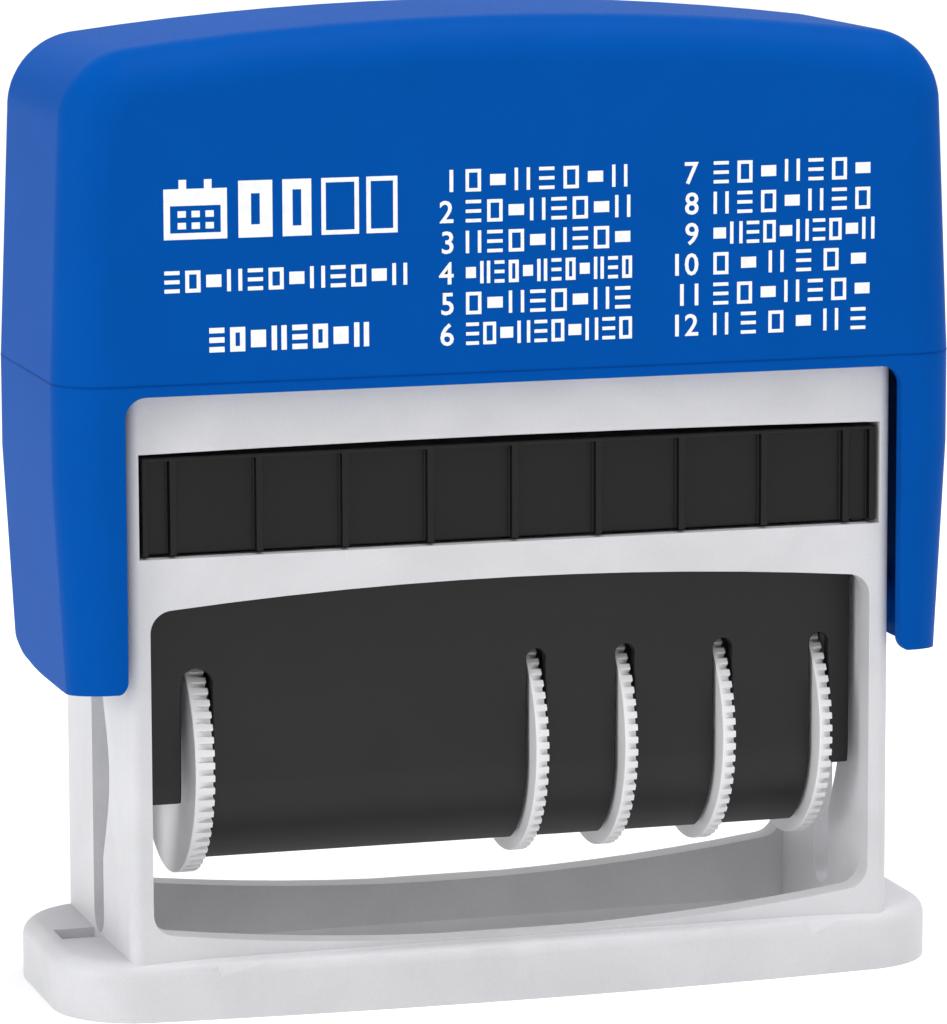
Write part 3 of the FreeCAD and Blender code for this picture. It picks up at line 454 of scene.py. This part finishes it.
# the cap's own skin between two heights, without its inner faces, moved out a little
seam = bmesh.new()
seam.from_mesh(nodes["cap_shell"].data)
bmesh.ops.remove_doubles(seam, verts=seam.verts, dist=WELD * MM)
for height, outer in ((SEAM_LOW, False), (SEAM_HIGH, True)):
    bmesh.ops.bisect_plane(seam, geom=seam.verts[:] + seam.edges[:] + seam.faces[:], dist=1e-8,
                           plane_co=(0, 0, height * MM), plane_no=(0, 0, 1),
                           clear_outer=outer, clear_inner=not outer)
inner = [f for f in seam.faces if f.calc_center_median().xy.dot(f.normal.xy) <= 0 or abs(f.normal.z) > 0.5]
bmesh.ops.delete(seam, geom=inner, context="FACES")
within_y = (CAP_HALF_DEEP - CAP_WALL / 2) * MM
within_x = (CAP_HALF_WIDE - CAP_WALL / 2 - SEAM_CORNER) * MM
stray = [f for f in seam.faces
         if abs(f.calc_center_median().y) < within_y and abs(f.calc_center_median().x) < within_x]
bmesh.ops.delete(seam, geom=stray, context="FACES")
seam.normal_update()
for vert in seam.verts:
    vert.co += Vector((vert.normal.x, vert.normal.y, 0)) * SEAM_PROUD * MM
mesh = bpy.data.meshes.new("cap_seam")
seam.to_mesh(mesh)
seam.free()
# the seam strip wears the darker blue, a painted shade along the seam
piece_from(mesh, "cap_seam", SEAM_SHADE_BLUE, "cap", smooth=True)

# ---- return springs --------------------------------------------------------------------------

SPRING_X, SPRING_R, WIRE = 20.0, 4.2, 0.4
SEAT_Z, CEILING_Z = 47.0, 75.6
TURNS, STEPS, SIDES = 10, 26, 10
CLOSED, CLOSED_PLAY = 1.2, 1.04  # turns that lie closed at each end, and their pitch in wire thicknesses


def add_tube(shape, line, radius):
    """A round tube along a line of points, with its ends capped."""
    rings = []
    across = (line[1] - line[0]).normalized().orthogonal()
    for index, point in enumerate(line):
        along = (line[min(index + 1, len(line) - 1)] - line[max(index - 1, 0)]).normalized()
        across = (across - along * across.dot(along)).normalized()
        other = along.cross(across)
        rings.append([shape.verts.new(point + (across * math.cos(a) + other * math.sin(a)) * radius)
                      for a in (2 * math.pi * k / SIDES for k in range(SIDES))])
    for ring, after in zip(rings, rings[1:]):
        for k in range(SIDES):
            shape.faces.new((ring[k], ring[(k + 1) % SIDES], after[(k + 1) % SIDES], after[k]))
    shape.faces.new(rings[0][::-1])
    shape.faces.new(rings[-1])


def spring_height(turn):
    """Height along a spring whose end turns are closed and ground."""
    low, high = SEAT_Z + WIRE, CEILING_Z - WIRE
    closed = 2 * WIRE * CLOSED_PLAY * CLOSED
    if turn < CLOSED:
        return low + closed * turn / CLOSED
    if turn > TURNS - CLOSED:
        return high - closed * (TURNS - turn) / CLOSED
    share = (turn - CLOSED) / (TURNS - 2 * CLOSED)
    return low + closed + (high - low - 2 * closed) * share


for name, side in (("left", -1), ("right", 1)):
    line = []
    for step in range(TURNS * STEPS + 1):
        turn = step / STEPS
        angle = 2 * math.pi * turn
        line.append(Vector((side * SPRING_X + SPRING_R * math.cos(angle), SPRING_R * math.sin(angle),
                            spring_height(turn))) * MM)
    coil = bmesh.new()
    add_tube(coil, line, WIRE * MM)
    wire = mesh_from(coil, f"spring_coil_{name}")
    spring = piece_from(wire, f"spring_coil_{name}", SPRING, "frame", smooth=True)
    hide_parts(f"return_spring_{name}")
    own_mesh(spring)

# ---- type bands ------------------------------------------------------------------------------

AXLE_Z, HUB_R, HEAD_Z, HEAD_HALF, BEND = 19.17, 4.68, 35.3, 2.1, 0.5
BELT, TYPE_TALL, TYPE_SUNK = 0.8, 0.58, 0.2
BELT_STEP, BELT_CORNER, BELT_DIP, RIB_PROUD = 0.25, 0.12, 0.06, 0.04
# the rib along a belt's edge: distance in from the edge, and height over the belt's thickness
RIB = ((0.0, -BELT_DIP), (0.1, RIB_PROUD), (0.3, RIB_PROUD), (0.4, -BELT_DIP))
BELT_SHARP = math.radians(40)
CHARACTERS = 12


def belt_line(grow):
    """Points and outward normals along a belt, grow millimetres outside its inner face.

    They start at the middle of the head, go down the +Y side, round the wheel's hub and up again.
    """
    radius, half, high, bend = HUB_R + grow, HEAD_HALF + grow, HEAD_Z + grow, BEND + grow
    lean = math.asin((radius - half) / (high - bend - AXLE_Z))
    found = []

    def run(a, b, normal):
        count = max(2, round(math.dist(a, b) / BELT_STEP))
        for k in range(count):
            share = k / count
            found.append(((a[0] + (b[0] - a[0]) * share, a[1] + (b[1] - a[1]) * share), normal))

    def arc(centre, r, start, end):
        count = max(5, round(abs(end - start) * r / BELT_STEP))
        for k in range(count):
            angle = start + (end - start) * k / count
            normal = (math.cos(angle), math.sin(angle))
            found.append(((centre[0] + r * normal[0], centre[1] + r * normal[1]), normal))

    side = Vector((math.cos(lean), math.sin(lean)))
    head = Vector((half - bend, high - bend))
    drum = Vector((0.0, AXLE_Z))
    run((0, high), (half - bend, high), (0, 1))
    arc(head, bend, math.pi / 2, lean)
    run(head + side * bend, drum + side * radius, tuple(side))
    arc(drum, radius, lean, -math.pi / 2)
    mirrored = [((-y, z), (-ny, nz)) for (y, z), (ny, nz) in found]
    return found + [((0.0, AXLE_Z - radius), (0.0, -1.0))] + mirrored[:0:-1]


def belt_mesh(name, left, right):
    """The belt itself: a flat loop with rounded edges and a fine rib down each edge."""
    shape = bmesh.new()
    section = [(left, BELT_CORNER), (left + BELT_CORNER, 0.0)]
    section += [(right - BELT_CORNER, 0.0), (right, BELT_CORNER)]
    section += [(right - inset, BELT + rise) for inset, rise in RIB]
    section += [(left + inset, BELT + rise) for inset, rise in reversed(RIB)]
    rings = [[shape.verts.new(Vector((x, y + ny * out, z + nz * out)) * MM) for x, out in section]
             for (y, z), (ny, nz) in belt_line(0.0)]
    for ring, after in zip(rings, rings[1:] + rings[:1]):
        for k in range(len(section)):
            nxt = (k + 1) % len(section)
            shape.faces.new((ring[k], ring[nxt], after[nxt], after[k]))
    return mesh_from(shape, name)


def belt_place(line, x, share):
    """Where a character stands on the belt: mirrored, its foot towards -Y at the head."""
    lengths = [math.dist(a[0], b[0]) for a, b in zip(line, line[1:] + line[:1])]
    want = (share % 1.0) * sum(lengths)
    index = 0
    while want > lengths[index]:
        want -= lengths[index]
        index += 1
    (y, z), (ny, nz) = line[index]
    (y2, z2), (ny2, nz2) = line[(index + 1) % len(line)]
    t = want / lengths[index]
    y, z = y + (y2 - y) * t, z + (z2 - z) * t
    normal = Vector((0, ny + (ny2 - ny) * t, nz + (nz2 - nz) * t)).normalized()
    up = Vector((0, -normal.z, normal.y))
    place = Matrix((Vector((1, 0, 0)), up, normal)).transposed().to_4x4()
    place.translation = Vector((x, y, z)) * MM
    return place


PHRASE_CELLS, PHRASE_INSET, PHRASE_PITCH = 9, 1.0, 2.1
CELL_WIDE, CELL_HALF_TALL, CELL_STROKE, CELL_MID_HALF = 1.5, 1.2, 0.45, 0.22


def phrase_mark(kind, x0):
    """The rectangles of a plain mark on the phrase band: a frame, two uprights or three bars."""
    x1, top = x0 + CELL_WIDE, CELL_HALF_TALL
    inner = top - CELL_STROKE
    low_bar, high_bar = (x0, -top, x1, -inner), (x0, inner, x1, top)
    if kind == 3:
        return [low_bar, (x0, -CELL_MID_HALF, x1, CELL_MID_HALF), high_bar]
    if kind == 1:
        return [(x0, -top, x0 + CELL_STROKE, top), (x1 - CELL_STROKE, -top, x1, top)]
    return [low_bar, high_bar, (x0, -inner, x0 + CELL_STROKE, inner), (x1 - CELL_STROKE, -inner, x1, inner)]


# of each band: its left, its right and the numerals on it; the phrase band has plain marks instead
FIGURE_TALL = 3.1
BANDS = {
    "phrase_band": (-23.3, -2.9, None),
    "day_tens_band": (-1.6, 1.6, ["0", "1", "2", "3"] * 3),
    "day_units_band": (3.5, 6.7, [str(n) for n in range(10)] + ["0", "1"]),
    "month_band": (11.0, 17.3, [f"{n:02d}" for n in range(1, 13)]),
    "year_band": (19.3, 25.6, [str(n) for n in range(26, 38)]),
}
for name, (left, right, figures) in BANDS.items():
    loop = belt_mesh(f"{name}_belt", left, right)
    belt = piece_from(loop, f"{name}_belt", BAND, "carriage", smooth=True)
    edges = belt.modifiers.new("edges", "EDGE_SPLIT")
    edges.split_angle = BELT_SHARP
    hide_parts(name)
    line = belt_line(BELT - BELT_DIP)
    characters = bmesh.new()
    for index in range(CHARACTERS):
        if figures is None:
            place = belt_place(line, 0.0, index / CHARACTERS)
            for cell in range(PHRASE_CELLS):
                x0 = left + PHRASE_INSET + cell * PHRASE_PITCH
                for xa, ya, xb, yb in phrase_mark((cell + index) % MARK_KINDS, x0):
                    add_box(characters, (xa, ya, -TYPE_SUNK), (xb, yb, TYPE_TALL), place)
        else:
            figure = glyph(figures[index], FIGURE_TALL, TYPE_TALL + TYPE_SUNK)
            place = belt_place(line, (left + right) / 2, index / CHARACTERS)
            raised = Matrix.Translation((0, 0, (TYPE_TALL - TYPE_SUNK) / 2 * MM))
            add_mesh(characters, figure, place @ raised)
    piece_from(mesh_from(characters, f"{name}_type"), f"{name}_type", TYPE, "carriage")

# ---- ink pad ---------------------------------------------------------------------------------

PAD_ROUND, PAD_STEP = 0.55, 0.5
PAD_WAIST = 0.006  # how much narrower the pad is at its middle, as a share
PAD_INSET, PAD_UNDER = 0.05, 0.6  # play above and below it, and how matted its underside is, as a share
MATTING = ((0.9, 0.03), (0.33, 0.02))  # size and height of the felt's bumps
low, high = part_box("ink_pad")
cells = [max(2, round((b - a) / (PAD_STEP * MM))) for a, b in zip(low, high)]
shape = bmesh.new()
bmesh.ops.create_cube(shape, size=1.0)
for axis, count in enumerate(cells):
    for cut in range(1, count):
        where = [0.0, 0.0, 0.0]
        where[axis] = cut / count - 0.5
        normal = [0.0, 0.0, 0.0]
        normal[axis] = 1.0
        bmesh.ops.bisect_plane(shape, geom=shape.verts[:] + shape.edges[:] + shape.faces[:],
                               plane_co=where, plane_no=normal)
size, centre = high - low, (high + low) / 2
half = size / 2
for vert in shape.verts:
    point = Vector(vert.co[i] * size[i] for i in range(3))
    core = Vector(max(-half[i] + PAD_ROUND * MM, min(half[i] - PAD_ROUND * MM, point[i])) for i in range(3))
    away = point - core
    if away.length > 1e-9:
        point = core + away.normalized() * PAD_ROUND * MM
    matted = sum(noise.noise(point / (wide * MM)) * tall for wide, tall in MATTING)
    point.y *= 1.0 - PAD_WAIST * math.cos(math.pi * point.x / size.x)
    inset = PAD_INSET if point.z < 0 else -PAD_INSET
    point.z += (matted * (1.0 if point.z > 0 else PAD_UNDER) + inset) * MM
    vert.co = centre + point
pad = piece_from(mesh_from(shape, "ink_pad_felt"), "ink_pad_felt", FELT, "pad", smooth=True)
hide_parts("ink_pad")

# ---- floor, light and camera -----------------------------------------------------------------

FLOOR_REACH, FLOOR_DROP = 6.0, 0.00002
ground = bpy.data.meshes.new("floor")
corners = [(x * FLOOR_REACH, y * FLOOR_REACH, 0) for x, y in ((-1, -1), (1, -1), (1, 1), (-1, 1))]
ground.from_pydata(corners, [], [(0, 1, 2, 3)])
floor = bpy.data.objects.new("floor", ground)
floor.location.z = cad_box[0].z - FLOOR_DROP
scene.collection.objects.link(floor)
paper = Shader("pale_floor", Specular_IOR_Level=0.1, Emission_Color=(1.0, 1.0, 1.0, 1.0),
               Emission_Strength=0.26)
paper.into("Base Color", paper.colours(paper.noise(400.0), *MOST, (0.8, 0.8, 0.803), (0.83, 0.83, 0.83)))
paper.into("Roughness", paper.spread(paper.noise(60.0), *MOST, 0.85, 0.95))
dress(floor, paper.material)

world = bpy.data.worlds.new("studio")
world.use_nodes = True
backdrop = world.node_tree.nodes["Background"]
backdrop.inputs["Color"].default_value = (1.0, 1.0, 1.0, 1.0)
backdrop.inputs["Strength"].default_value = 0.5
scene.world = world


def add_light(name, place, size, power, aim=(0, 0, 0.04)):
    """A soft rectangular light of a width and a height in metres and a power in watts."""
    lamp = bpy.data.lights.new(name, "AREA")
    lamp.shape, lamp.size, lamp.size_y, lamp.energy = "RECTANGLE", size[0], size[1], power
    holder = bpy.data.objects.new(name, lamp)
    scene.collection.objects.link(holder)
    holder.location = place
    holder.rotation_mode = "QUATERNION"
    holder.rotation_quaternion = (Vector(aim) - Vector(place)).to_track_quat("-Z", "Y")


add_light("key_softbox", (-0.25, -0.6, 0.65), (0.6, 0.5), 0.5)
add_light("side_softbox", (-0.75, -0.15, 0.2), (0.5, 0.4), 2.3)
add_light("top_softbox", (0.15, -0.12, 0.9), (0.9, 0.5), 8.0)
add_light("back_softbox", (0.0, 1.3, 0.6), (1.4, 0.7), 3.0, aim=(0.0, 1.3, 0.0))

TARGET, DISTANCE = Vector((-0.12, 0, 37.24)) * MM, 0.460
AZIMUTH, ELEVATION, ROLL = (math.radians(a) for a in (-16.51, 8.97, -0.19))
FOCAL, SENSOR, NEAR, FAR = 200.2, 36.0, 0.01, 20.0
lens = bpy.data.cameras.new("stamp_camera")
lens.lens, lens.sensor_width, lens.clip_start, lens.clip_end = FOCAL, SENSOR, NEAR, FAR
camera = bpy.data.objects.new("stamp_camera", lens)
scene.collection.objects.link(camera)
level = math.cos(ELEVATION)
back = Vector((math.sin(AZIMUTH) * level, -math.cos(AZIMUTH) * level, math.sin(ELEVATION)))
camera.location = TARGET + back * DISTANCE
camera.rotation_mode = "QUATERNION"
camera.rotation_quaternion = (-back).to_track_quat("-Z", "Y") @ Quaternion((0, 0, 1), ROLL)
scene.camera = camera
scene.view_settings.view_transform = "Standard"
